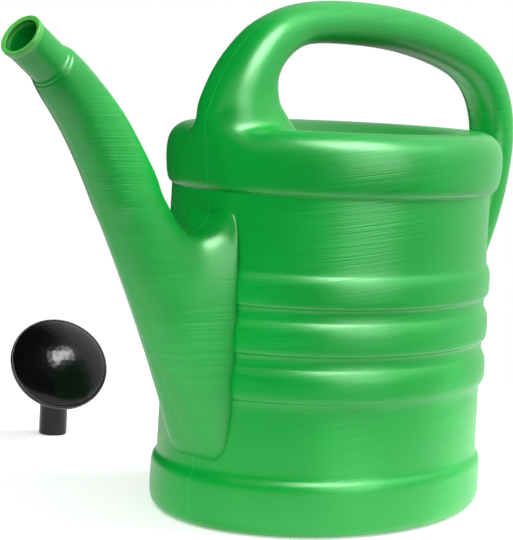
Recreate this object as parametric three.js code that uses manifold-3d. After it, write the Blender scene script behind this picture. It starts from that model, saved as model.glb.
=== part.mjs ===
// Garden watering can of about ten litres: one hollow oval moulding with a rising spout and a
// loop handle, and a push-in sprinkling rose that stands on the floor beside it.
// Millimetres, +Z up. The origin is the centre of the can's flat underside, the spout points
// along -X and the rose stands on the +Y side.
import * as THREE from 'three';
import { mergeVertices } from 'three/addons/utils/BufferGeometryUtils.js';
import Module from 'manifold-3d';

const wasm = await Module();
wasm.setup();

// ---- driving dimensions -------------------------------------------------------------------
const WALL = 1.9; // moulded wall
const GAP = 0.3; // between neighbouring pieces
const SIDES = 40; // facets round the oval

const OVAL_RATIO = 0.772; // width over length of the oval
const BASE_HALF_LENGTH = 132.6; // of the plain wall, at the floor
const TOP_HALF_LENGTH = 130.3; // of the plain wall, under the hood
const BAND_TOP = 39.3; // the proud band round the base
const BAND_PROUD = 3.6;
const BASE_EDGE_RADIUS = 13;
const BASE_GROOVE = 3; // shallow ring groove in the underside
const RIB_BOTTOMS = [91.7, 123.3, 155.0];
const RIB_HEIGHT = 22.6;
const RIB_PROUD = 3;
const RIB_SLOPE = 3;
const RIB_END = { spout: 28, handle: 22 }; // half widths of the plain strips front and rear
const BARREL_BOTTOM = 42;
const BARREL_TOP = 229.3;

const HOOD_TOP = 272;
const HOOD_PROUD = 6.8; // beyond the plain wall
const HOOD_SHIFT = 2; // the hood sits a little to the rear
const HOOD_RADIUS = 20; // of the rounded shoulder
const DECK_DROP = 9; // the deck is dished below the shoulder
const FILLER = { x: 20, halfLength: 60, halfWidth: 56 };

const NOZZLE = { tip: [-299.2, 323.1], tilt: 34.4, outer: 13.7, bore: 11.6, length: 29.5 };
const SPOUT_CUT = 222; // height where the spout tube meets its root
const FRONT_CUT = -31; // where the grip meets the front leg, and the rear leg
const REAR_CUT = 125;

const ROSE = { x: -6, y: 278.5, turn: -116.2, tilt: 54.3, rimX: 12, rimZ: 60.8 };
const ROSE_RADIUS = 40.3;
const ROSE_WALL = 1.6;
const NECK_RADIUS = 11.45; // plugs into the nozzle's bore with 0.15 to spare
const NECK_BORE = 9.6;
const FACE_DOME = 13.4;
const FACE_SKIRT = 3;
const FACE_HOLE = { radius: 0.9, pitch: 8.5, rings: 3 };

// Outlines in the XZ plane: [under side x, z, upper side x, z, half width].
const SPOUT = [
  [-287.0, 295.8, -269.4, 321.6, 15.4],
  [-269.7, 277.5, -244.5, 303.7, 16.2],
  [-250.3, 251.6, -216.7, 278.4, 16.8],
  [-234.9, 226.2, -195.7, 252.0, 17.6],
  [-224.4, 207.1, -182.0, 230.3, 18.5],
  [-209.0, 180.4, -163.0, 203.0, 19.2],
  [-186.0, 140.5, -138.0, 199.5, 22.5],
  [-160.0, 95.6, -112.0, 196.0, 25.6],
  [-134.5, 50.0, -105.0, 80.0, 27.5],
  [-118.0, 40.0, -100.0, 60.0, 27.5],
];
// [outer side x, z, inner side x, z, half width], from the front root over the grip to the rear
const HANDLE = [
  [-128, 250, -45, 252, 30],
  [-137, 274, -60, 272, 27.5],
  [-133, 290, -74, 289, 25],
  [-117, 316, -73, 312, 21.5],
  [-88, 342.5, -53, 326, 18.5],
  [-40, 358, -22, 330.5, 17],
  [30, 361, 30, 329.5, 16.5],
  [104, 353.5, 96, 321.5, 16.5],
  [158, 337, 139, 308.5, 16.7],
  [190, 313, 162, 291, 16.7],
  [206.5, 280, 174, 272, 16.7],
  [207, 246, 174, 247, 16.7],
  [198, 210, 164.5, 214, 16.7],
  [182, 176, 147, 187, 16.7],
  [160, 140, 125, 162, 17],
  [128, 112, 100, 140, 17],
];

// ---- materials ----------------------------------------------------------------------------
const greenPlastic = () => new THREE.MeshStandardMaterial({ color: 0x12a83c, roughness: 0.45, metalness: 0 });
const blackPlastic = () => new THREE.MeshStandardMaterial({ color: 0x101012, roughness: 0.2, metalness: 0 });

// ---- helpers ------------------------------------------------------------------------------
function signedVolume(position, triangles) {
  const a = new THREE.Vector3();
  const b = new THREE.Vector3();
  const c = new THREE.Vector3();
  let total = 0;
  for (let i = 0; i < triangles.length; i += 3) {
    a.fromBufferAttribute(position, triangles[i]);
    b.fromBufferAttribute(position, triangles[i + 1]);
    c.fromBufferAttribute(position, triangles[i + 2]);
    total += a.dot(b.cross(c));
  }
  return total;
}

// A closed geometry as a solid, with its seams welded and its faces pointing out.
function solid(geometry) {
  const bare = geometry.clone();
  bare.deleteAttribute('normal');
  bare.deleteAttribute('uv');
  const welded = mergeVertices(bare, 1e-4);
  const position = welded.getAttribute('position');
  const index = Array.from(welded.getIndex().array);
  const triangles = [];
  for (let i = 0; i < index.length; i += 3) {
    const [a, b, c] = index.slice(i, i + 3);
    if (a !== b && b !== c && c !== a) triangles.push(a, b, c);
  }
  if (signedVolume(position, triangles) < 0) triangles.reverse();
  const vertProperties = new Float32Array(position.array);
  const triVerts = new Uint32Array(triangles);
  return new wasm.Manifold(new wasm.Mesh({ numProp: 3, vertProperties, triVerts }));
}

function meshOf(name, body, material) {
  const cut = body.getMesh();
  const geometry = new THREE.BufferGeometry();
  geometry.setAttribute('position', new THREE.BufferAttribute(new Float32Array(cut.vertProperties), 3));
  geometry.setIndex(new THREE.BufferAttribute(new Uint32Array(cut.triVerts), 1));
  geometry.computeVertexNormals();
  const mesh = new THREE.Mesh(geometry, material);
  mesh.name = name;
  return mesh;
}

// A profile of [radius, height] points turned about Z.
function turned(profile, sides = SIDES) {
  const points = profile.map(([radius, height]) => new THREE.Vector2(radius, height));
  return new THREE.LatheGeometry(points, sides).rotateX(Math.PI / 2);
}

// The same, squeezed to the can's oval.
function oval(profile, shift = 0) {
  return solid(turned(profile).scale(1, OVAL_RATIO, 1).translate(shift, 0, 0));
}

function block(low, high) {
  const size = high.map((value, axis) => value - low[axis]);
  const middle = high.map((value, axis) => (value + low[axis]) / 2);
  return solid(new THREE.BoxGeometry(...size).translate(...middle));
}

function arc(centreR, centreZ, radius, from, to, steps) {
  const points = [];
  for (let i = 0; i <= steps; i++) {
    const angle = THREE.MathUtils.degToRad(from + ((to - from) * i) / steps);
    points.push([centreR + radius * Math.cos(angle), centreZ + radius * Math.sin(angle)]);
  }
  return points;
}

// A bent, tapering tube between two outlines in the XZ plane. Each section is a rounded
// rectangle across the line that joins the outlines, made smaller all round by inset.
function loft(stations, inset, steps, sides = 16) {
  const first = new THREE.CatmullRomCurve3(stations.map(([x, z]) => new THREE.Vector3(x, 0, z)));
  const second = new THREE.CatmullRomCurve3(stations.map(([, , x, z]) => new THREE.Vector3(x, 0, z)));
  const widths = new THREE.CatmullRomCurve3(stations.map((row, i) => new THREE.Vector3(i, row[4], 0)));
  const geometry = new THREE.CylinderGeometry(1, 1, 1, sides, steps);
  const position = geometry.getAttribute('position');
  const squareness = 0.8;
  for (let i = 0; i < position.count; i++) {
    const along = THREE.MathUtils.clamp(position.getY(i) + 0.5, 0, 1);
    const reach = Math.hypot(position.getX(i), position.getZ(i));
    const angle = Math.atan2(position.getZ(i), position.getX(i));
    const across = reach * Math.sign(Math.cos(angle)) * Math.abs(Math.cos(angle)) ** squareness;
    const sideways = reach * Math.sign(Math.sin(angle)) * Math.abs(Math.sin(angle)) ** squareness;
    const outer = first.getPoint(along);
    const inner = second.getPoint(along);
    const middle = outer.clone().add(inner).multiplyScalar(0.5);
    const half = outer.clone().sub(inner).multiplyScalar(0.5);
    half.setLength(half.length() - inset);
    middle.addScaledVector(half, across);
    position.setXYZ(i, middle.x, sideways * (widths.getPoint(along).y - inset), middle.z);
  }
  return solid(geometry);
}

// ---- oval body ----------------------------------------------------------------------------
const halfLength = (z) => BASE_HALF_LENGTH + ((TOP_HALF_LENGTH - BASE_HALF_LENGTH) * z) / BARREL_TOP;

function filledWall(grow) {
  const low = 0;
  const high = BARREL_TOP;
  return oval([[0, low], [halfLength(low) + grow, low], [halfLength(high) + grow, high], [0, high]]);
}

function basePan() {
  const bandRadius = BASE_HALF_LENGTH + BAND_PROUD;
  const top = BARREL_BOTTOM - GAP;
  const edge = (radius) => arc(bandRadius - BASE_EDGE_RADIUS, BASE_EDGE_RADIUS, radius, -90, 0, 4);
  const outside = [
    [0, 0],
    [88, 0],
    [92, BASE_GROOVE],
    [112, BASE_GROOVE],
    [116, 0],
    ...edge(BASE_EDGE_RADIUS),
    [bandRadius - 0.2, BAND_TOP - 5],
    [halfLength(BAND_TOP) + 2.4, BAND_TOP - 1.2],
    [halfLength(BAND_TOP), BAND_TOP],
    [halfLength(top), top],
  ];
  const inside = [
    [halfLength(top) - WALL, top],
    [halfLength(BAND_TOP) - WALL, BAND_TOP - 1.5],
    [bandRadius - WALL, BAND_TOP - 6],
    ...edge(BASE_EDGE_RADIUS - WALL).reverse(),
    [117, WALL],
    [113, WALL + BASE_GROOVE],
    [91, WALL + BASE_GROOVE],
    [87, WALL],
    [0, WALL],
  ];
  return oval([...outside, ...inside]);
}

// One rib's outline, from the wall out and back to the wall.
function ribOutline(bottom) {
  const top = bottom + RIB_HEIGHT;
  return [
    [halfLength(bottom), bottom],
    [halfLength(bottom) + RIB_PROUD, bottom + RIB_SLOPE],
    [halfLength(top) + RIB_PROUD, top - RIB_SLOPE],
    [halfLength(top), top],
  ];
}

// The ribs run round the oval but stop at the spout's root and at the handle's root.
function barrelWall() {
  const foot = [halfLength(BARREL_BOTTOM), BARREL_BOTTOM];
  const head = [halfLength(BARREL_TOP), BARREL_TOP];
  const shell = (outside) => {
    const inside = outside.map(([radius, z]) => [radius - WALL, z]).reverse();
    return oval([...outside, ...inside, outside[0]]);
  };
  const ribless = block([-200, -RIB_END.spout, 0], [-60, RIB_END.spout, 300])
    .add(block([60, -RIB_END.handle, 0], [200, RIB_END.handle, 300]));
  const ribbed = shell([foot, ...RIB_BOTTOMS.flatMap(ribOutline), head]);
  return ribbed.subtract(ribless).add(shell([foot, head]).intersect(ribless));
}

// The hood's side and shoulder, from its lower edge up to the crest.
function hoodSide(grow) {
  const lip = halfLength(BARREL_TOP) + grow;
  const side = lip + HOOD_PROUD;
  const low = BARREL_TOP + GAP;
  return [
    [lip, low],
    [side - 2.5, low + 2.2],
    [side, low + 8],
    ...arc(side - HOOD_RADIUS - grow, HOOD_TOP - HOOD_RADIUS, HOOD_RADIUS + grow, 0, 90, 5),
  ];
}

// The dished deck, from the crest in to the axis.
function deck(grow) {
  const bottom = HOOD_TOP - DECK_DROP + grow;
  return [
    [98, HOOD_TOP - 2.5 + grow],
    [88, bottom + 1.5],
    [78, bottom],
    [0, bottom],
  ];
}

function filledHood(grow) {
  return oval([[0, BARREL_TOP + GAP], ...hoodSide(grow), ...deck(grow)], HOOD_SHIFT);
}

function hoodShell() {
  const inside = [...hoodSide(-WALL), ...deck(-WALL)].reverse();
  const shell = oval([...inside, ...hoodSide(0), ...deck(0)], HOOD_SHIFT);
  const filler = new THREE.CylinderGeometry(1, 1, 60, 40).rotateX(Math.PI / 2);
  filler.scale(FILLER.halfLength, FILLER.halfWidth, 1).translate(FILLER.x, 0, HOOD_TOP);
  return shell.subtract(solid(filler));
}

// ---- spout and nozzle ---------------------------------------------------------------------
// Turns a shape made along +Z, with its end at the origin, to the nozzle's tip and slope.
function atNozzle(geometry) {
  const [x, z] = NOZZLE.tip;
  const turn = THREE.MathUtils.degToRad(NOZZLE.tilt - 90);
  return solid(geometry.rotateY(turn).translate(x, 0, z));
}

function nozzle() {
  const end = -NOZZLE.length;
  return atNozzle(turned([
    [NOZZLE.bore, end],
    [NOZZLE.outer, end],
    [NOZZLE.outer, -0.6],
    [NOZZLE.outer - 0.6, 0],
    [NOZZLE.bore + 0.4, 0],
    [NOZZLE.bore, -0.6],
    [NOZZLE.bore, end],
  ], 24));
}

function beyondShoulder() {
  const end = -NOZZLE.length - GAP;
  return atNozzle(turned([[0, end], [40, end], [40, 30], [0, 30]], 12));
}

const spoutCavity = loft(SPOUT, WALL, 22);
const spout = loft(SPOUT, 0, 22).subtract(spoutCavity).subtract(beyondShoulder());

function spoutTube() {
  return spout.intersect(block([-400, -60, SPOUT_CUT + GAP], [0, 60, 400]));
}

function spoutRoot() {
  return spout.intersect(block([-400, -60, 0], [0, 60, SPOUT_CUT])).subtract(filledWall(GAP));
}

// ---- handle -------------------------------------------------------------------------------
const handleCavity = loft(HANDLE, WALL, 32);
const handle = loft(HANDLE, 0, 32).subtract(handleCavity);

function handleFront() {
  const region = block([-200, -60, 240], [FRONT_CUT, 60, 400]);
  return handle.intersect(region).subtract(filledHood(GAP));
}

function handleGrip() {
  return handle.intersect(block([FRONT_CUT + GAP, -60, 300], [REAR_CUT, 60, 400]));
}

function handleRear() {
  return handle.intersect(block([REAR_CUT + GAP, -60, 0], [300, 60, 400])).subtract(filledWall(GAP));
}

// ---- rose ---------------------------------------------------------------------------------
// Turns a shape made along the face's axis, with the rim's centre at the origin.
function onRoseAxis(geometry) {
  return solid(geometry.rotateY(THREE.MathUtils.degToRad(ROSE.tilt)).translate(ROSE.rimX, 0, ROSE.rimZ));
}

const SEAT_RADIUS = ROSE_RADIUS - ROSE_WALL - 0.3;
const LEDGE = -FACE_SKIRT - GAP;

function roseShell() {
  const outside = [[0, -27], [13, -25.5], [25, -19], [36, -8.5], [ROSE_RADIUS, LEDGE - 2], [ROSE_RADIUS, 0]];
  const inside = [[SEAT_RADIUS, 0], [SEAT_RADIUS, LEDGE], [36, LEDGE], [34.5, -7], [24, -17], [12.5, -23.5], [0, -25]];
  const funnel = onRoseAxis(turned([...outside, [0, 0]], 36));
  const hollow = onRoseAxis(turned([[0, 20], [SEAT_RADIUS, 20], ...inside.slice(1)], 36));
  const neck = new THREE.CylinderGeometry(NECK_RADIUS, NECK_RADIUS, 44, 24).rotateX(Math.PI / 2);
  const bore = new THREE.CylinderGeometry(NECK_BORE, NECK_BORE, 60, 24).rotateX(Math.PI / 2);
  const outer = funnel.add(solid(neck.translate(0, 0, 22)));
  return outer.subtract(hollow).subtract(solid(bore.translate(0, 0, 20)));
}

function roseFace() {
  const edge = SEAT_RADIUS - GAP;
  const dome = (thickness, steps) => {
    const radius = edge - thickness;
    const sphere = (edge * edge + FACE_DOME * FACE_DOME) / (2 * FACE_DOME);
    const points = [];
    for (let i = 0; i <= steps; i++) {
      const r = (radius * i) / steps;
      points.push([r, Math.sqrt((sphere - thickness) ** 2 - r * r) - sphere + FACE_DOME + 0.6]);
    }
    return points;
  };
  const skirt = [[edge, -FACE_SKIRT], [edge - ROSE_WALL, -FACE_SKIRT]];
  const plate = solid(turned([...dome(0, 5), ...skirt, ...dome(ROSE_WALL, 5).reverse()], 36));
  const holes = [];
  for (let ringNumber = 0; ringNumber <= FACE_HOLE.rings; ringNumber++) {
    const count = Math.max(1, 6 * ringNumber);
    for (let i = 0; i < count; i++) {
      const angle = (2 * Math.PI * i) / count;
      const reach = ringNumber * FACE_HOLE.pitch;
      const hole = new THREE.CylinderGeometry(FACE_HOLE.radius, FACE_HOLE.radius, 40, 6).rotateX(Math.PI / 2);
      holes.push(solid(hole.translate(reach * Math.cos(angle), reach * Math.sin(angle), 0)));
    }
  }
  return plate.subtract(wasm.Manifold.union(holes));
}

// ---- assembly -----------------------------------------------------------------------------
const can = new THREE.Group();
can.add(meshOf('base_pan', basePan(), greenPlastic()));
can.add(meshOf('barrel_wall', barrelWall().subtract(spoutCavity).subtract(handleCavity), greenPlastic()));
can.add(meshOf('hood', hoodShell().subtract(handleCavity), greenPlastic()));
can.add(meshOf('spout_root', spoutRoot(), greenPlastic()));
can.add(meshOf('spout_tube', spoutTube(), greenPlastic()));
can.add(meshOf('spout_nozzle', nozzle(), greenPlastic()));
can.add(meshOf('handle_front_leg', handleFront(), greenPlastic()));
can.add(meshOf('handle_grip', handleGrip(), greenPlastic()));
can.add(meshOf('handle_rear_leg', handleRear(), greenPlastic()));

const face = meshOf('rose_face', roseFace(), blackPlastic());
face.rotation.y = THREE.MathUtils.degToRad(ROSE.tilt);
face.position.set(ROSE.rimX, 0, ROSE.rimZ);
const rose = new THREE.Group();
rose.add(meshOf('rose_shell', roseShell(), blackPlastic()), face);
rose.rotation.z = THREE.MathUtils.degToRad(ROSE.turn);
rose.position.set(ROSE.x, ROSE.y, 0);

const wateringCan = new THREE.Group();
wateringCan.add(can, rose);
export default wateringCan;
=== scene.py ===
"""A ten litre garden watering can and its push-in rose, built round its CAD frame.

The can is one hollow moulding, so its body and handle are one mesh. The spout is a second
mesh that enters the front wall. The rose is a funnel with a neck and a perforated face.
"""

import math

import bmesh
import bpy
from mathutils import Matrix, Vector


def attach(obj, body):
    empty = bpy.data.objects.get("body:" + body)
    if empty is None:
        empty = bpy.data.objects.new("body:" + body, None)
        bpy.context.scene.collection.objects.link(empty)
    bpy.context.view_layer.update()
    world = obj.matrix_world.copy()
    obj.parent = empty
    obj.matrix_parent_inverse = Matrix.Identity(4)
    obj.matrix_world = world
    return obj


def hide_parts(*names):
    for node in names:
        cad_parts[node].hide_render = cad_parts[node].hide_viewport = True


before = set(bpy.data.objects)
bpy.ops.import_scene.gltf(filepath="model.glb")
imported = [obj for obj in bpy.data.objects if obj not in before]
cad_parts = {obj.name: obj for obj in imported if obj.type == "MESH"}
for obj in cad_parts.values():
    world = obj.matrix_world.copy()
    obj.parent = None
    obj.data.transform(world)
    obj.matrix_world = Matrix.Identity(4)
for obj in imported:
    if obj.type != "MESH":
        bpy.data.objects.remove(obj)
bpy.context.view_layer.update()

bl_info = {
    "name": "Watering can",
    "version": (1, 0, 0),
    "blender": (4, 5, 0),
    "location": "3D View > Sidebar > Watering can",
    "description": "Builds a garden watering can with its rose on a plain floor",
    "category": "Add Mesh",
}

MM = 0.001

# ---- the oval body, in millimetres --------------------------------------------------------
OVAL_RATIO = 0.772
BASE_HALF_LENGTH = 132.6
TOP_HALF_LENGTH = 130.3
BARREL_TOP = 229.3
BAND_PROUD = 3.6  # for which the band's steps are drawn
RIB_BOTTOMS = (91.7, 123.3, 155.0)
RIB_HEIGHT = 22.6
HOOD_TOP = 272.4
HOOD_SHIFT = 2.0
HOOD_RADIUS = 18.0
FILLER = {"x": 20.0, "half_length": 60.0, "half_width": 56.0}

# Angles of the columns on one half of the oval, from the spout (0) to the handle (180).
COLUMNS = (0, 8, 14.4, 15.6, 19.5, 30, 42, 55, 69, 83, 97, 111, 125, 138, 150, 160, 166, 168.5, 174, 180)
RIB_COLUMNS = (15, 167)  # the ribs run between these angles
LEG_COLUMNS = 2  # the front leg takes two columns on each side
SHOULDER_ROWS = 5  # from the hood's widest row to its crest, where the front leg starts
MOUTH_ROWS = 4  # the deck's last flat row and the filler's edge, where the front leg ends
SPREAD_PEAK = COLUMNS[2]  # the columns beside the front leg spread most here
SPREAD_END = 75  # and no more from here on
WATERWAY = (82, 182)  # heights between which the wall is open into the spout

# How square a section is: 2 is an ellipse, and more is squarer.
HANDLE_SQUARE = 2.35
ROOT_SQUARE = 2.7  # in the handle's sections that follow
ROOT_SECTIONS = range(2, 7)
TUBE_SQUARE = 2.25
ROUND = 2

# Sections of the handle: [outer x, z, inner x, z, half width].
HANDLE = (
    (-137.8, 270, -67, 279, 26.4),
    (-136.6, 281, -73.5, 287, 23.2),
    (-133, 289.5, -77.6, 294, 21.7),
    (-126.5, 302, -79, 302, 20.8),
    (-117, 315.5, -76, 310.5, 20),
    (-105, 328.4, -67.8, 318.6, 19),
    (-90, 340.4, -56, 325, 18.1),
    (-73, 349.2, -42, 328.2, 17.3),
    (-52, 355.5, -26, 329.8, 17),
    (-22, 359.4, -8, 330.2, 16.6),
    (12, 360.5, 14, 330.0, 16.5),
    (45, 359.7, 43, 328.7, 16.5),
    (76, 357.1, 71, 325.9, 16.5),
    (105, 352.7, 96.8, 321.6, 16.5),
    (132, 346, 119.5, 316.4, 16.6),
    (156, 337.4, 139.5, 310, 16.7),
    (176, 325.8, 155.2, 301.2, 16.8),
    (191, 311.4, 165.8, 290.5, 16.9),
    (201.5, 294.6, 171.8, 279.5, 17),
    (207, 276, 175, 268, 17),
    (208.2, 257, 175.2, 255, 17),
    (206, 238, 173, 240.5, 17),
    (201.3, 218, 168.6, 224, 17),
    (193.6, 197, 161.6, 206.5, 17),
    (183.4, 176, 152.8, 189.5, 17.2),
    (171, 155, 143.4, 174.5, 17.8),
    (156.5, 133, 135.6, 166.5, 19),
    (142, 113, 131.3, 163.5, 21),
    (129.6, 99, 128.6, 163, 21.5),
)

# Sections of the spout: [under x, z, upper x, z, half width under, middle, upper, squareness].
SPOUT = (
    (-122, 46.5, -128.8, 218, 27, 28.2, 27, 8),
    (-133.2, 50.5, -131.0, 211, 26.4, 28.2, 26.4, 7),
    (-146, 72.5, -136.4, 205, 24, 26.4, 24.6, 5.5),
    (-163, 101.5, -146.2, 200.4, 19.4, 23.2, 21.4, 4.3),
    (-181, 132, -157, 202, 15.4, 19.8, 18.8, 3.4),
    (-198, 161, -168.6, 211.5, 13.4, 17.8, 17.9, 2.8),
    (-212, 185.5, -176.3, 221.5, 13, 17.2, 17.7, 2.5),
    (-224.4, 207.1, -182.9, 230.2, 13.2, 17.2, 18, 2.4),
)
# Higher up: [centre x, z, slope in degrees, half depth, half width].
SPOUT_TUBE = (
    (-208.6, 228.7, 59.4, 24.1, 17.5),
    (-215.3, 239.1, 56.6, 23.5, 17.2),
    (-223.9, 251.9, 54.8, 22.5, 17),
    (-233.5, 265.0, 51.5, 21.5, 16.6),
    (-244.8, 278.1, 47.3, 19.9, 16.2),
    (-257.1, 290.6, 44.0, 18.2, 16),
    (-267.3, 299.9, 40.0, 17.0, 15.9),
)
NOZZLE = {"tip": (-299.2, 323.1), "tilt": 34.4}
# The shoulder and the nozzle: [distance back from the tip, radius].
NOZZLE_RINGS = (
    (31.5, 15.8), (30.2, 15.6), (29.5, 15.1), (29.0, 14.8), (27.8, 14.75),
    (27.0, 14.5), (26.4, 14.0), (25.0, 13.8), (20, 13.7), (9, 13.7),
    (3.2, 13.75), (2.0, 14.2), (0.2, 14.45), (-2.0, 14.4), (-2.7, 14.1),
)
SPOUT_SIDES = 32
SPOUT_EXTRA_WALL = 1.0  # the spout is thicker than the body
SPOUT_MIDDLE = (-200, 0, 200)  # a point inside the spout, to tell out from in

# ---- the rose, in millimetres -------------------------------------------------------------
ROSE = {"x": -6.0, "y": 278.5, "turn": -116.2, "tilt": 54.3, "rim_x": 12.0, "rim_z": 60.8}
# Profiles as [radius, height], the funnel's from its rim's centre and the neck's from the floor.
FUNNEL = (
    (0.0, -25.6), (13, -25.2), (18, -23.2), (25, -19), (31.5, -13), (36.4, -8.4),
    (39.3, -6.2), (40.3, -4.2), (40.3, -0.9), (39.9, -0.1), (39.2, 0),
)
FUNNEL_INSIDE = (
    (38.7, -0.3), (38.7, -3.3), (37.6, -4.4), (34.6, -7.2), (24.5, -17.2), (14, -23.4), (0.0, -23.8),
)
FUNNEL_SIDES = 40
NECK = (
    (9.6, 0.4), (9.9, 0), (11.1, 0), (11.45, 0.5), (11.45, 20), (11.5, 29), (12.4, 34),
    (14.8, 38.5), (18, 42.5), (16, 46.2), (12.4, 43.5), (9.8, 41), (9.6, 38),
)
NECK_SIDES = 32
FACE_MARGIN = 0.6  # the face sits this far inside its rim, and this far above it
FACE_WALL = 1.4
FACE_SKIRT = ((0.15, -1.2), (0.0, -1.6))  # [outwards, down] of the face's turned edge
MERGE = 0.01

# ---- the stage ----------------------------------------------------------------------------
FLOOR = {"centre": (40, 140, 0), "radius": 520, "sides": 96, "glow": 0.38}  # lengths in millimetres
# The surround is brightest towards one direction and fades to its rest value away from it.
GLOW = {"towards": (0.95, -0.1, 0.3), "low": 0.42, "high": 0.8, "rest": 0.02}
AIM = (0, 0, 0.2)  # the point that the lamps face, in metres
# Metres and degrees: heading from +X towards +Y, dip below level, roll about the line of sight.
CAMERA = {"place": (-1.0454, -0.8533, 0.3248), "heading": 41.4391, "dip": 6.7311, "roll": 3.154}
LENS = {"focal": 83.85, "sensor": 24, "near": 0.05, "far": 30}  # millimetres, then metres

# ---- colours ------------------------------------------------------------------------------
TIP_GREEN = (0.1, 0.52, 0.085, 1)  # the pale cut edge of the nozzle
BLACK = (0.0025, 0.0025, 0.003, 1)
DUST = (0.045, 0.045, 0.048, 1)
FLOOR_WHITES = ((0.93, 0.93, 0.93, 1), (0.96, 0.96, 0.96, 1))
LINE_SLANT = 0.14  # rise of the drawn lines towards the handle, per length
BUMP_DEPTH = 0.0003


def half_length(z):
    """Half the length of the plain wall at a height."""
    return BASE_HALF_LENGTH + (TOP_HALF_LENGTH - BASE_HALF_LENGTH) * z / BARREL_TOP


def wall_row(z, proud=0.0, rib=0.0, shift=0.0, spread=0.0):
    """A ring round the wall, standing proud of it by some millimetres."""
    a = half_length(min(z, BARREL_TOP))
    return {"x": shift, "z": z, "a": a + proud, "b": a * OVAL_RATIO + proud, "rib": rib, "spread": spread}


def oval_row(z, a, b, shift=0.0, spread=0.0):
    """A ring of its own half length and half width."""
    return {"x": shift, "z": z, "a": a, "b": b, "rib": 0.0, "spread": spread}


def underside_rows():
    radii = ((34, 0.0), (88, 0.0), (92.5, 1.6), (96, 2.9), (109, 2.9), (112.5, 1.4), (117, 0.0))
    return [oval_row(z, r, r * OVAL_RATIO) for r, z in radii]


def band_rows(band_proud):
    steps = (
        (0.0, -7.6), (1.2, -1.9), (5.0, 2.4), (11.5, 3.9), (29, 3.6),
        (34.0, 3.5), (37.0, 2.5), (39.2, 0.6), (41.5, 0),
    )
    scale = band_proud / BAND_PROUD
    return [wall_row(z, p * scale if p > 0 else p) for z, p in steps]


def rib_rows(rib_proud):
    rows = []
    for bottom in RIB_BOTTOMS:
        steps = ((-0.5, 0), (0.3, 0.6), (1.8, 1.0), (RIB_HEIGHT - 8.0, 1), (RIB_HEIGHT - 4.8, 0.86),
                 (RIB_HEIGHT - 0.3, 0.26), (RIB_HEIGHT + 0.3, 0))
        rows += [wall_row(bottom + up, rib=part * rib_proud) for up, part in steps]
    return rows


def hood_rows(hood_proud):
    rows = [wall_row(z, p, shift=s) for z, p, s in (
        (205, 0, 0), (224, 0, 0), (228.4, 0, 0), (229.3, 0.3, 0.2),
        (229.9, 2.2, 0.6), (232.2, 4.0, 1.2), (237, 5.6, 1.8),
    )]
    rows.append(wall_row(251, hood_proud, shift=HOOD_SHIFT, spread=3))
    for angle in (22.5, 45, 67.5, 90):
        turn = math.radians(angle)
        proud = hood_proud - HOOD_RADIUS + HOOD_RADIUS * math.cos(turn)
        z = HOOD_TOP - HOOD_RADIUS + HOOD_RADIUS * math.sin(turn)
        rows.append(wall_row(z, proud, shift=HOOD_SHIFT, spread=3 + 6 * angle / 90))
    return rows


def deck_rows():
    rows = [wall_row(z, p, shift=HOOD_SHIFT, spread=s) for z, p, s in (
        (271.2, -20.5, 10), (267.8, -27.5, 11), (264, -34.5, 10),
    )]
    rows.append(oval_row(262.8, 83, 64, shift=9.5, spread=7))
    rows.append(oval_row(262.6, 75, 62, shift=17, spread=2))
    for grow, z in ((2.8, 262.3), (0.6, 261.2), (0, 258.5)):
        rows.append(oval_row(z, FILLER["half_length"] + grow, FILLER["half_width"] + grow, shift=FILLER["x"]))
    return rows


def rib_share(angle):
    """1 where the ribs stand out, 0 on the plain strips at the spout and the handle."""
    low, high = RIB_COLUMNS
    return 1.0 if low < angle < high else 0.0


def column_turns():
    """Signed turns of all columns: one side from the spout round to the handle, then back."""
    return [float(c) for c in COLUMNS] + [-float(c) for c in reversed(COLUMNS[1:-1])]


def fullness(turns, index):
    """How much further out a cage vertex sits, so that the smoothed oval has its true size."""
    here = turns[index]
    total = 0.0
    for other in (turns[index - 1], turns[(index + 1) % len(turns)]):
        total += 1 - math.cos(math.radians(other - here))
    return 1 + total / 6


def spread_share(size):
    """How much of a row's spread a column takes: all at the peak, none at the spout or past the end."""
    if size < SPREAD_PEAK:
        return size / SPREAD_PEAK
    return max(0.0, (SPREAD_END - size) / (SPREAD_END - SPREAD_PEAK))


def ring_points(row, turns):
    """The cage points of one row, in the order of the columns."""
    points = []
    for index, turn in enumerate(turns):
        size = abs(turn)
        angle = math.radians(turn + math.copysign(row["spread"] * spread_share(size), turn))
        proud = row["rib"] * rib_share(size)
        full = fullness(turns, index)
        x = row["x"] - (row["a"] * full + proud) * math.cos(angle)
        y = (row["b"] * full + proud) * math.sin(angle)
        points.append(Vector((x, y, row["z"])))
    return points


def loop_edges(bm, ring):
    return [bm.edges.get((ring[i - 1], ring[i])) for i in range(len(ring))]


def new_ring(bm, points):
    """A closed loop of edges through points, made from a circle."""
    made = bmesh.ops.create_circle(bm, cap_ends=False, segments=len(points), radius=1)["verts"]
    ring = [made[0]]
    previous = None
    while len(ring) < len(made):
        here = ring[-1]
        step = next(e.other_vert(here) for e in here.link_edges if e.other_vert(here) is not previous)
        previous = here
        ring.append(step)
    for vertex, point in zip(ring, points):
        vertex.co = point
    return ring


def extend(bm, ring, points):
    """Extrudes a loop of edges and moves the new loop to points, in the same order."""
    made = bmesh.ops.extrude_edge_only(bm, edges=loop_edges(bm, ring))["geom"]
    fresh = {v for v in made if isinstance(v, bmesh.types.BMVert)}
    following = []
    for vertex in ring:
        beside = (e.other_vert(vertex) for e in vertex.link_edges)
        following.append(next(v for v in beside if v in fresh))
    for vertex, point in zip(following, points):
        vertex.co = point
    return following


def through(points):
    """Cage points for a smooth line that passes through points; the ends stay."""
    cage = [p.copy() for p in points]
    for _ in range(10):
        before = [p.copy() for p in cage]
        for i in range(1, len(cage) - 1):
            limit = (before[i - 1] + 4 * before[i] + before[i + 1]) / 6
            cage[i] = before[i] + points[i] - limit
    return cage


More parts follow.
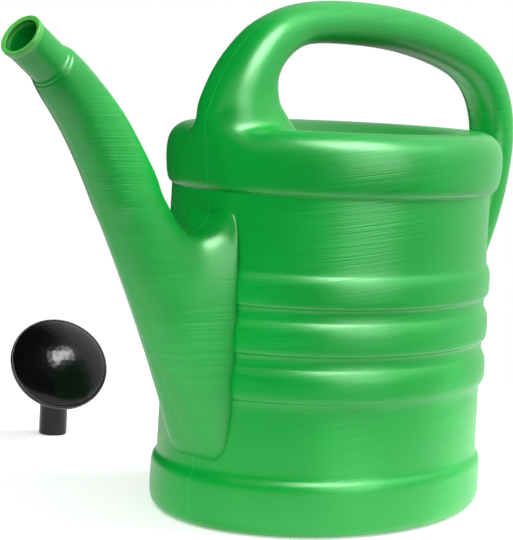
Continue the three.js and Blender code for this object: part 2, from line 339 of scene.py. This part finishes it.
def smooth_lengthwise(rings):
    """The same rings, moved so that the smoothed tube passes through them."""
    lines = [through([ring[i] for ring in rings]) for i in range(len(rings[0]))]
    return [[line[k] for line in lines] for k in range(len(rings))]


def section(under, upper, widths, squareness, count):
    """A rounded section across the line from the under side to the upper side."""
    middle = (under + upper) / 2
    half = (under - upper) / 2
    points = []
    full = 1 + (1 - math.cos(2 * math.pi / count)) / 3
    for i in range(count):
        angle = 2 * math.pi * i / count
        c, s = math.cos(angle), math.sin(angle)
        reach = (abs(c) ** squareness + abs(s) ** squareness) ** (-1 / squareness) * full
        along = c * reach
        low, mid, high = widths
        width = mid + (low - mid) * max(along, 0) ** 1.5 + (high - mid) * max(-along, 0) ** 1.5
        point = middle + half * along
        points.append(Vector((point.x, s * reach * width, point.z)))
    return points


def finish_mesh(bm, name, material, wall=None, levels=2, crease=0.0):
    """Puts a bmesh that was built in millimetres into a new object, in metres."""
    bmesh.ops.scale(bm, vec=(MM, MM, MM), verts=bm.verts)
    for face in bm.faces:
        face.smooth = True
    mesh = bpy.data.meshes.new(name)
    bm.to_mesh(mesh)
    bm.free()
    piece = bpy.data.objects.new(name, mesh)
    bpy.context.scene.collection.objects.link(piece)
    mesh.materials.append(material)
    if wall:
        shell = piece.modifiers.new("wall", "SOLIDIFY")
        shell.thickness = wall * MM
        shell.offset = -1
        shell.use_even_offset = True
        shell.edge_crease_inner = crease
        shell.edge_crease_outer = crease
    if levels:
        rounding = piece.modifiers.new("rounding", "SUBSURF")
        rounding.levels = levels
        rounding.render_levels = levels
    return piece


# ---- materials ----------------------------------------------------------------------------
class Value:
    """A number that changes over the surface; sums and products add Math nodes."""

    def __init__(self, paint, socket):
        self.paint = paint
        self.socket = socket

    def math(self, operation, *others):
        inputs = dict(enumerate((self, *others)))
        return self.paint.add("ShaderNodeMath", {"operation": operation}, inputs).value()

    def __add__(self, other):
        return self.math("ADD", other)

    __radd__ = __add__

    def __sub__(self, other):
        return self.math("SUBTRACT", other)

    def __rsub__(self, other):
        return self.paint.add("ShaderNodeMath", {"operation": "SUBTRACT"}, {0: other, 1: self}).value()

    def __mul__(self, other):
        return self.math("MULTIPLY", other)

    __rmul__ = __mul__

    def size(self):
        return self.math("ABSOLUTE")

    def between(self, low, high):
        """0 at low, 1 at high, smooth in between."""
        settings = {"interpolation_type": "SMOOTHSTEP"}
        inputs = {"Value": self, "From Min": low, "From Max": high, "To Min": 0.0, "To Max": 1.0}
        return self.paint.add("ShaderNodeMapRange", settings, inputs).value("Result")


class Step:
    """One node, from which its outputs are taken by name."""

    def __init__(self, paint, node):
        self.paint = paint
        self.node = node

    def value(self, name=0):
        return Value(self.paint, self.node.outputs[name])


class Paint:
    """The node tree of one material."""

    def __init__(self, name):
        self.material = bpy.data.materials.new(name)
        self.material.use_nodes = True
        self.tree = self.material.node_tree
        self.shader = self.tree.nodes["Principled BSDF"]

    def add(self, kind, settings=None, inputs=None):
        node = self.tree.nodes.new(kind)
        for key, setting in (settings or {}).items():
            setattr(node, key, setting)
        for key, given in (inputs or {}).items():
            self.join(node.inputs[key], given)
        return Step(self, node)

    def join(self, socket, given):
        if isinstance(given, Value):
            self.tree.links.new(given.socket, socket)
        else:
            socket.default_value = given

    def coordinates(self):
        return self.add("ShaderNodeTexCoord").value("Object")

    def axes(self, vector):
        split = self.add("ShaderNodeSeparateXYZ", None, {0: vector})
        return split.value("X"), split.value("Y"), split.value("Z")

    def vector(self, x, y, z):
        return self.add("ShaderNodeCombineXYZ", None, {"X": x, "Y": y, "Z": z}).value()

    def noise(self, vector, scale, detail=2.0, roughness=0.5):
        inputs = {"Vector": vector, "Scale": scale, "Detail": detail, "Roughness": roughness}
        return self.add("ShaderNodeTexNoise", None, inputs).value("Fac")

    def blend(self, factor, first, second):
        settings = {"data_type": "RGBA"}
        return self.add("ShaderNodeMix", settings, {"Factor": factor, 6: first, 7: second}).value(2)

    def surface(self, **inputs):
        names = {"color": "Base Color", "roughness": "Roughness", "normal": "Normal"}
        for key, given in inputs.items():
            self.join(self.shader.inputs[names[key]], given)

    def bump(self, height, strength, distance):
        inputs = {"Height": height, "Strength": strength, "Distance": distance}
        return self.add("ShaderNodeBump", None, inputs).value("Normal")


def moulded_green(finish):
    """Satin polyethylene, with faint drawn lines and the mould's parting line, whose ridge is also painted
    paler as a highlight.
    """
    paint = Paint("moulded_green")
    place = paint.coordinates()
    x, y, z = paint.axes(place)
    cloud = paint.noise(place, 14.0, 3.0)
    slant = z - x * LINE_SLANT
    drawn = paint.noise(paint.vector(x * 14.0, y * 14.0, slant * 900.0), 1.0, 1.0, 0.5)
    level = paint.noise(paint.vector(x * 10.0, y * 10.0, z * 850.0), 1.0, 1.0, 0.5)
    front = (0 - x).between(0.118, 0.136)
    lines = drawn * (1 - front) + level * front
    patches = paint.noise(place, 9.0, 1.0).between(0.42, 0.66)
    # The parting line: a real raised ridge in the bump, and a painted highlight that makes its colour paler.
    seam_and_painted_highlight = 1 - y.size().between(0.0003, 0.0008)
    grain = paint.noise(place, 900.0, 2.0)
    height = lines * patches * 1.2 + lines * 0.3 + seam_and_painted_highlight * 1.6 + grain * 0.1
    # The parting line's term in the tone is a painted highlight along its ridge; the rest is random tone and
    # drawn lines.
    tone = (cloud * 0.5 + lines * (patches * 0.6 + 0.25) + seam_and_painted_highlight * 0.5).between(0.25, 0.85)
    lean = math.radians(NOZZLE["tilt"])
    tip_x, tip_z = (value * MM for value in NOZZLE["tip"])
    ahead = (tip_x - x) * math.cos(lean) + (z - tip_z) * math.sin(lean)
    tip = ahead.between(-0.0026, -0.0012)
    deep = (*finish.green_deep, 1)
    light = (*finish.green_light, 1)
    paint.surface(
        color=paint.blend(tip * 0.8, paint.blend(tone, deep, light), TIP_GREEN),
        roughness=cloud * 0.08 + lines * 0.05 + (finish.roughness - 0.065),
        normal=paint.bump(height, 0.5, BUMP_DEPTH),
    )
    paint.shader.inputs["IOR"].default_value = 1.5
    return paint.material


def gloss_black(finish):
    """Black moulded plastic with a faintly uneven gloss."""
    paint = Paint("gloss_black")
    place = paint.coordinates()
    cloud = paint.noise(place, 60.0, 3.0)
    fine = paint.noise(place, 1400.0, 2.0)
    dust = paint.noise(place, 2600.0, 1.0).between(0.68, 0.78)
    paint.surface(
        color=paint.blend(dust * 0.35, BLACK, DUST),
        roughness=cloud * 0.12 + dust * 0.25 + (finish.black_roughness - 0.06),
        normal=paint.bump(fine * 0.5 + cloud, 0.12, BUMP_DEPTH),
    )
    paint.shader.inputs["IOR"].default_value = 1.42
    return paint.material


def floor_white(finish):
    """Matt white that gives off a little light; the finishes don't change it."""
    paint = Paint("floor_white")
    place = paint.coordinates()
    cloud = paint.noise(place, 3.0, 2.0)
    paint.surface(
        color=paint.blend(cloud, *FLOOR_WHITES),
        roughness=cloud * 0.05 + 0.85,
    )
    paint.shader.inputs["Emission Color"].default_value = (1, 1, 1, 1)
    paint.shader.inputs["Emission Strength"].default_value = FLOOR["glow"]
    return paint.material


def material(scene, maker):
    """The maker's material, made on first use."""
    return bpy.data.materials.get(maker.__name__) or maker(scene.finishes)


# ---- settings -----------------------------------------------------------------------------
class CanSizes(bpy.types.PropertyGroup):
    """Sizes of the can, in millimetres"""

    wall: bpy.props.FloatProperty(
        name="Wall", description="Thickness of the moulded wall, in millimetres", default=2.0, min=0.8, max=4,
    )
    rib_proud: bpy.props.FloatProperty(
        name="Rib height", description="How far the ribs stand out, in millimetres",
        default=3.5, min=0, max=6,
    )
    band_proud: bpy.props.FloatProperty(
        name="Base band", description="How far the base band stands out, in millimetres",
        default=BAND_PROUD, min=0, max=6,
    )
    hood_proud: bpy.props.FloatProperty(
        name="Hood", description="How far the hood stands out, in millimetres", default=6.8, min=0, max=12,
    )


class RoseSizes(bpy.types.PropertyGroup):
    """Sizes of the rose, in millimetres"""

    rim_radius: bpy.props.FloatProperty(
        name="Face radius", description="Radius of the perforated face, in millimetres",
        default=39.0, min=20, max=60,
    )
    dome: bpy.props.FloatProperty(
        name="Dome", description="Height of the domed face, in millimetres", default=13.4, min=2, max=25,
    )
    hole_rings: bpy.props.IntProperty(
        name="Rings of holes", description="Rings of holes round the middle one", default=7, min=3, max=10,
    )
    hole: bpy.props.FloatProperty(
        name="Hole", description="Radius of a hole, in millimetres", default=0.48, min=0.2, max=1.5,
    )


class Finishes(bpy.types.PropertyGroup):
    """Colours and gloss of the two plastics"""

    green_deep: bpy.props.FloatVectorProperty(
        name="Green, deep", description="Colour of the moulding in its deeper parts",
        subtype="COLOR", default=(0.0002, 0.33, 0.035), min=0, max=1,
    )
    green_light: bpy.props.FloatVectorProperty(
        name="Green, light", description="Colour of the moulding in its paler parts",
        subtype="COLOR", default=(0.0012, 0.42, 0.049), min=0, max=1,
    )
    roughness: bpy.props.FloatProperty(
        name="Satin", description="Roughness of the green moulding",
        default=0.33, min=0.05, max=1, subtype="FACTOR",
    )
    black_roughness: bpy.props.FloatProperty(
        name="Gloss of the rose", description="Roughness of the black plastic",
        default=0.2, min=0.02, max=1, subtype="FACTOR",
    )


class StageSettings(bpy.types.PropertyGroup):
    """Strengths of the lights"""

    key: bpy.props.FloatProperty(
        name="Key light", description="Strength of the main soft light",
        default=52.0, min=0, max=400, unit="POWER",
    )
    softbox: bpy.props.FloatProperty(
        name="Softbox", description="Strength of the softbox above",
        default=52.0, min=0, max=400, unit="POWER",
    )
    panel: bpy.props.FloatProperty(
        name="Panel", description="Strength of the upright panel in front",
        default=18.0, min=0, max=400, unit="POWER",
    )
    fill: bpy.props.FloatProperty(
        name="Fill light", description="Strength of the light from the spout side",
        default=24.0, min=0, max=400, unit="POWER",
    )
    surround: bpy.props.FloatProperty(
        name="Surround", description="Strength of the white surround", default=0.9, min=0, max=3,
    )


# ---- pieces -------------------------------------------------------------------------------
class CAN_OT_body(bpy.types.Operator):
    """Build the oval body with its ribs, hood and filler opening, and the handle that grows from it"""

    bl_idname = "watering_can.body"
    bl_label = "Body and handle"

    def execute(self, context):
        scene = context.scene
        sizes = scene.can_sizes
        rows = underside_rows() + band_rows(sizes.band_proud)
        rows += [wall_row(58), wall_row(76)] + rib_rows(sizes.rib_proud) + hood_rows(sizes.hood_proud)
        leg_first = len(rows) - SHOULDER_ROWS
        rows += deck_rows()
        leg_last = len(rows) - MOUTH_ROWS
        turns = column_turns()
        bm = bmesh.new()
        rings = [new_ring(bm, ring_points(row, turns)) for row in rows]
        for lower, upper in zip(rings, rings[1:]):
            bmesh.ops.bridge_loops(bm, edges=loop_edges(bm, lower) + loop_edges(bm, upper))
        bmesh.ops.holes_fill(bm, edges=loop_edges(bm, rings[0]), sides=0)
        self.open_leg(bm, rings, leg_first, leg_last)
        self.open_spout(bm, rings, rows)
        bmesh.ops.recalc_face_normals(bm, faces=bm.faces)
        piece = finish_mesh(bm, "can_body", material(scene, moulded_green), sizes.wall)
        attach(piece, "can")
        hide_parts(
            "base_pan", "barrel_wall", "hood", "handle_front_leg", "handle_grip", "handle_rear_leg",
        )
        return {"FINISHED"}

    def open_leg(self, bm, rings, first, last):
        """Cuts the hood open under the front leg and runs the handle from there to the back wall."""
        side = LEG_COLUMNS
        patch = [rings[r][c] for r in range(first + 1, last) for c in range(1 - side, side)]
        loop = [rings[first][c] for c in range(0, side + 1)]
        loop += [rings[r][side] for r in range(first + 1, last)]
        loop += [rings[last][c] for c in range(side, -side - 1, -1)]
        loop += [rings[r][-side] for r in range(last - 1, first, -1)]
        loop += [rings[first][c] for c in range(-side, 0)]
        bmesh.ops.delete(bm, geom=patch, context="VERTS")
        stations = []
        for index, (outer_x, outer_z, inner_x, inner_z, width) in enumerate(HANDLE):
            outer, inner = Vector((outer_x, 0, outer_z)), Vector((inner_x, 0, inner_z))
            square = ROOT_SQUARE if index in ROOT_SECTIONS else HANDLE_SQUARE
            stations.append(section(outer, inner, (width * 0.96, width, width * 0.94), square, len(loop)))
        start = [v.co.copy() for v in loop]
        ring = loop
        for points in smooth_lengthwise([start] + stations)[1:]:
            ring = extend(bm, ring, points)

    def open_spout(self, bm, rings, rows):
        """Cuts the way for the water into the spout's root."""
        low, high = WATERWAY
        patch = [ring[0] for ring, row in zip(rings, rows) if low < row["z"] < high]
        bmesh.ops.delete(bm, geom=patch, context="VERTS")


class CAN_OT_spout(bpy.types.Operator):
    """Build the spout from its wide root on the front wall to the round nozzle"""

    bl_idname = "watering_can.spout"
    bl_label = "Spout"

    def execute(self, context):
        stations = []
        for ux, uz, tx, tz, low, mid, high, square in SPOUT:
            widths = (low, mid, high)
            stations.append(section(Vector((ux, 0, uz)), Vector((tx, 0, tz)), widths, square, SPOUT_SIDES))
        for x, z, slope, depth, width in SPOUT_TUBE:
            turn = math.radians(slope)
            centre = Vector((x, 0, z))
            across = Vector((math.sin(turn), 0, math.cos(turn))) * depth
            widths = (width * 0.97, width, width)
            stations.append(section(centre - across, centre + across, widths, TUBE_SQUARE, SPOUT_SIDES))
        stations = smooth_lengthwise(stations)
        tilt = math.radians(NOZZLE["tilt"])
        tip = Vector((NOZZLE["tip"][0], 0, NOZZLE["tip"][1]))
        back = Vector((math.cos(tilt), 0, -math.sin(tilt)))
        across = Vector((math.sin(tilt), 0, math.cos(tilt)))
        for distance, radius in NOZZLE_RINGS:
            centre = tip + back * distance
            widths = (radius, radius, radius)
            reach = across * radius
            stations.append(section(centre - reach, centre + reach, widths, ROUND, SPOUT_SIDES))
        bm = bmesh.new()
        ring = new_ring(bm, stations[0])
        for points in stations[1:]:
            ring = extend(bm, ring, points)
        bmesh.ops.recalc_face_normals(bm, faces=bm.faces)
        middle = Vector(SPOUT_MIDDLE)
        if sum(f.normal.dot(f.calc_center_median() - middle) for f in bm.faces) < 0:
            bmesh.ops.reverse_faces(bm, faces=bm.faces)
        scene = context.scene
        wall = scene.can_sizes.wall + SPOUT_EXTRA_WALL
        piece = finish_mesh(bm, "spout_moulding", material(scene, moulded_green), wall)
        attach(piece, "can")
        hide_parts("spout_root", "spout_tube", "spout_nozzle")
        return {"FINISHED"}


def rose_place():
    """From the rose's own axis, with the rim's centre at the origin, to where it stands."""
    tilt = Matrix.Rotation(math.radians(ROSE["tilt"]), 4, "Y")
    rise = Matrix.Translation((ROSE["rim_x"], 0, ROSE["rim_z"]))
    return neck_place() @ rise @ tilt


def neck_place():
    turn = Matrix.Rotation(math.radians(ROSE["turn"]), 4, "Z")
    return Matrix.Translation((ROSE["x"], ROSE["y"], 0)) @ turn


def spun(bm, profile, steps):
    """Spins a profile of [radius, height] points about Z into a closed skin."""
    line = [bm.verts.new((radius, 0, height)) for radius, height in profile]
    edges = [bm.edges.new(pair) for pair in zip(line, line[1:])]
    bmesh.ops.spin(bm, geom=line + edges, cent=(0, 0, 0), axis=(0, 0, 1), angle=2 * math.pi,
                   steps=steps, use_merge=True, use_duplicate=False)
    bmesh.ops.remove_doubles(bm, verts=bm.verts, dist=MERGE)
    bmesh.ops.recalc_face_normals(bm, faces=bm.faces)


class CAN_OT_rose_shell(bpy.types.Operator):
    """Build the rose's funnel and the neck that it stands on"""

    bl_idname = "watering_can.rose_shell"
    bl_label = "Rose shell"

    def execute(self, context):
        bm = bmesh.new()
        spun(bm, FUNNEL + FUNNEL_INSIDE, FUNNEL_SIDES)
        bmesh.ops.transform(bm, matrix=rose_place(), verts=bm.verts)
        neck = bmesh.new()
        spun(neck, NECK + NECK[:1], NECK_SIDES)
        bmesh.ops.transform(neck, matrix=neck_place(), verts=neck.verts)
        spare = bpy.data.meshes.new("spare")
        neck.to_mesh(spare)
        neck.free()
        bm.from_mesh(spare)
        bpy.data.meshes.remove(spare)
        piece = finish_mesh(bm, "rose_funnel", material(context.scene, gloss_black))
        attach(piece, "rose")
        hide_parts("rose_shell")
        return {"FINISHED"}


class CAN_OT_rose_face(bpy.types.Operator):
    """Build the rose's domed face with its rings of fine holes"""

    bl_idname = "watering_can.rose_face"
    bl_label = "Rose face"

    def execute(self, context):
        sizes = context.scene.rose_sizes
        rings = sizes.hole_rings + 1
        edge = sizes.rim_radius - FACE_MARGIN
        bm = bmesh.new()
        bmesh.ops.create_circle(bm, cap_ends=True, cap_tris=True, segments=6, radius=edge)
        bmesh.ops.subdivide_edges(bm, edges=bm.edges, cuts=rings - 1, use_grid_fill=True)
        bmesh.ops.triangulate(bm, faces=[f for f in bm.faces if len(f.verts) > 3])
        self.round_off(bm)
        inner = [v for v in bm.verts if v.co.length < edge * (1 - 0.5 / rings)]
        holes = bmesh.ops.bevel(bm, geom=inner, affect="VERTICES", offset=sizes.hole, offset_type="OFFSET",
                                segments=1, profile=0.5, material=-1)["faces"]
        bmesh.ops.delete(bm, geom=holes, context="FACES_ONLY")
        for edge_of_hole in [e for e in bm.edges if e.is_boundary and e.calc_length() < 2 * sizes.hole]:
            edge_of_hole.smooth = False
        radius = (edge * edge + sizes.dome ** 2) / (2 * sizes.dome)
        for v in bm.verts:
            reach = min(v.co.xy.length, edge)
            v.co.z = math.sqrt(radius * radius - reach * reach) - radius + sizes.dome + FACE_MARGIN
        rim = [e for e in bm.edges if e.is_boundary and all(v.co.xy.length > edge * 0.97 for v in e.verts)]
        for grow, drop in FACE_SKIRT:
            made = bmesh.ops.extrude_edge_only(bm, edges=rim)["geom"]
            fresh = [v for v in made if isinstance(v, bmesh.types.BMVert)]
            rim = [e for e in made if isinstance(e, bmesh.types.BMEdge)]
            for v in fresh:
                v.co += v.co.xy.normalized().to_3d() * grow + Vector((0, 0, drop))
        bmesh.ops.recalc_face_normals(bm, faces=bm.faces)
        if sum(f.normal.z * f.calc_area() for f in bm.faces) < 0:
            bmesh.ops.reverse_faces(bm, faces=bm.faces)
        bmesh.ops.transform(bm, matrix=rose_place(), verts=bm.verts)
        black = material(context.scene, gloss_black)
        piece = finish_mesh(bm, "rose_plate", black, wall=FACE_WALL, levels=1, crease=1.0)
        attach(piece, "rose_face")
        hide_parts("rose_face")
        return {"FINISHED"}

    def round_off(self, bm):
        """Turns the six-sided lattice into rings."""
        for v in bm.verts:
            if v.co.length < 1e-6:
                continue
            turn = math.atan2(v.co.x, v.co.y) % (math.pi / 3)
            v.co *= math.cos(turn - math.pi / 6) / math.cos(math.pi / 6)


class CAN_OT_stage(bpy.types.Operator):
    """Set the floor, the soft lights and the camera"""

    bl_idname = "watering_can.stage"
    bl_label = "Stage"

    def execute(self, context):
        scene = context.scene
        settings = scene.stage_settings
        self.floor(scene)
        self.surround(scene, settings)
        self.lights(settings)
        self.camera(scene)
        scene.view_settings.view_transform = "Standard"
        return {"FINISHED"}

    def floor(self, scene):
        bm = bmesh.new()
        bmesh.ops.create_circle(bm, cap_ends=True, segments=FLOOR["sides"], radius=FLOOR["radius"])
        bmesh.ops.translate(bm, vec=FLOOR["centre"], verts=bm.verts)
        floor = finish_mesh(bm, "floor", material(scene, floor_white), levels=0)

    def surround(self, scene, settings):
        """Plain white behind the can, and a glow from one side on its surfaces."""
        world = bpy.data.worlds.new("surround")
        scene.world = world
        world.use_nodes = True
        nodes, links = world.node_tree.nodes, world.node_tree.links
        place = nodes.new("ShaderNodeTexCoord")
        along = nodes.new("ShaderNodeVectorMath")
        along.operation = "DOT_PRODUCT"
        along.inputs[1].default_value = GLOW["towards"]
        ramp = nodes.new("ShaderNodeMapRange")
        ramp.inputs["From Min"].default_value = GLOW["low"]
        ramp.inputs["From Max"].default_value = GLOW["high"]
        ramp.inputs["To Min"].default_value = GLOW["rest"]
        ramp.inputs["To Max"].default_value = settings.surround
        links.new(place.outputs["Generated"], along.inputs[0])
        links.new(along.outputs["Value"], ramp.inputs["Value"])
        glow = nodes["Background"]
        links.new(ramp.outputs["Result"], glow.inputs["Strength"])
        glow.inputs["Color"].default_value = (1, 1, 1, 1)
        paper = nodes.new("ShaderNodeBackground")
        paper.inputs["Color"].default_value = (1, 1, 1, 1)
        seen = nodes.new("ShaderNodeLightPath")
        choice = nodes.new("ShaderNodeMixShader")
        links.new(seen.outputs["Is Camera Ray"], choice.inputs["Fac"])
        links.new(glow.outputs["Background"], choice.inputs[1])
        links.new(paper.outputs["Background"], choice.inputs[2])
        links.new(choice.outputs["Shader"], nodes["World Output"].inputs["Surface"])

    def lights(self, settings):
        aim = Vector(AIM)
        # The wide lamps only light the colours; the softboxes are only seen mirrored in the gloss.
        for name, place, width, height, power, gloss in (
            ("key", (1.35, -1.15, 1.35), 1.4, 1.2, settings.key, False),
            ("fill", (-1.25, -0.3, 1.25), 1.4, 1.0, settings.fill, False),
            ("softbox", (-0.03, -0.85, 1.45), 1.0, 0.95, settings.softbox, True),
            ("panel", (-0.02, -1.55, 0.62), 1.0, 1.15, settings.panel, True),
        ):
            lamp = bpy.data.lights.new(name, "AREA")
            lamp.shape = "RECTANGLE"
            lamp.size = width
            lamp.size_y = height
            lamp.energy = power
            holder = bpy.data.objects.new(name, lamp)
            holder.location = place
            holder.rotation_euler = (aim - Vector(place)).to_track_quat("-Z", "Y").to_euler()
            holder.visible_glossy = gloss
            holder.visible_diffuse = not gloss
            bpy.context.scene.collection.objects.link(holder)

    def camera(self, scene):
        lens = bpy.data.cameras.new("camera")
        lens.sensor_fit = "AUTO"
        lens.sensor_width = LENS["sensor"]
        lens.lens = LENS["focal"]
        lens.clip_start = LENS["near"]
        lens.clip_end = LENS["far"]
        holder = bpy.data.objects.new("camera", lens)
        scene.collection.objects.link(holder)
        heading = Matrix.Rotation(math.radians(CAMERA["heading"] - 90), 4, "Z")
        dip = Matrix.Rotation(math.radians(90 - CAMERA["dip"]), 4, "X")
        roll = Matrix.Rotation(math.radians(CAMERA["roll"]), 4, "Z")
        holder.matrix_world = Matrix.Translation(CAMERA["place"]) @ heading @ dip @ roll
        scene.camera = holder


class CAN_PT_panel(bpy.types.Panel):
    """The can's sizes, finishes and lights, and a button for each piece"""

    bl_label = "Watering can"
    bl_idname = "CAN_PT_panel"
    bl_space_type = "VIEW_3D"
    bl_region_type = "UI"
    bl_category = "Watering can"

    def draw(self, context):
        scene = context.scene
        titled = (
            ("Can", scene.can_sizes), ("Rose", scene.rose_sizes),
            ("Finishes", scene.finishes), ("Stage", scene.stage_settings),
        )
        for title, group in titled:
            box = self.layout.box()
            box.label(text=title)
            for key in group.bl_rna.properties.keys():
                if key not in {"rna_type", "name"}:
                    box.prop(group, key)
        for step in OPERATORS:
            self.layout.operator(step.bl_idname)


GROUPS = {
    "can_sizes": CanSizes,
    "rose_sizes": RoseSizes,
    "finishes": Finishes,
    "stage_settings": StageSettings,
}
OPERATORS = (CAN_OT_body, CAN_OT_spout, CAN_OT_rose_shell, CAN_OT_rose_face, CAN_OT_stage)


def register():
    for key, group in GROUPS.items():
        bpy.utils.register_class(group)
        setattr(bpy.types.Scene, key, bpy.props.PointerProperty(type=group))
    for step in OPERATORS:
        bpy.utils.register_class(step)
    bpy.utils.register_class(CAN_PT_panel)


def unregister():
    bpy.utils.unregister_class(CAN_PT_panel)
    for step in reversed(OPERATORS):
        bpy.utils.unregister_class(step)
    for key, group in GROUPS.items():
        delattr(bpy.types.Scene, key)
        bpy.utils.unregister_class(group)


def main():
    register()
    bpy.ops.watering_can.body()
    bpy.ops.watering_can.spout()
    bpy.ops.watering_can.rose_shell()
    bpy.ops.watering_can.rose_face()
    bpy.ops.watering_can.stage()


if __name__ == "__main__":
    main()
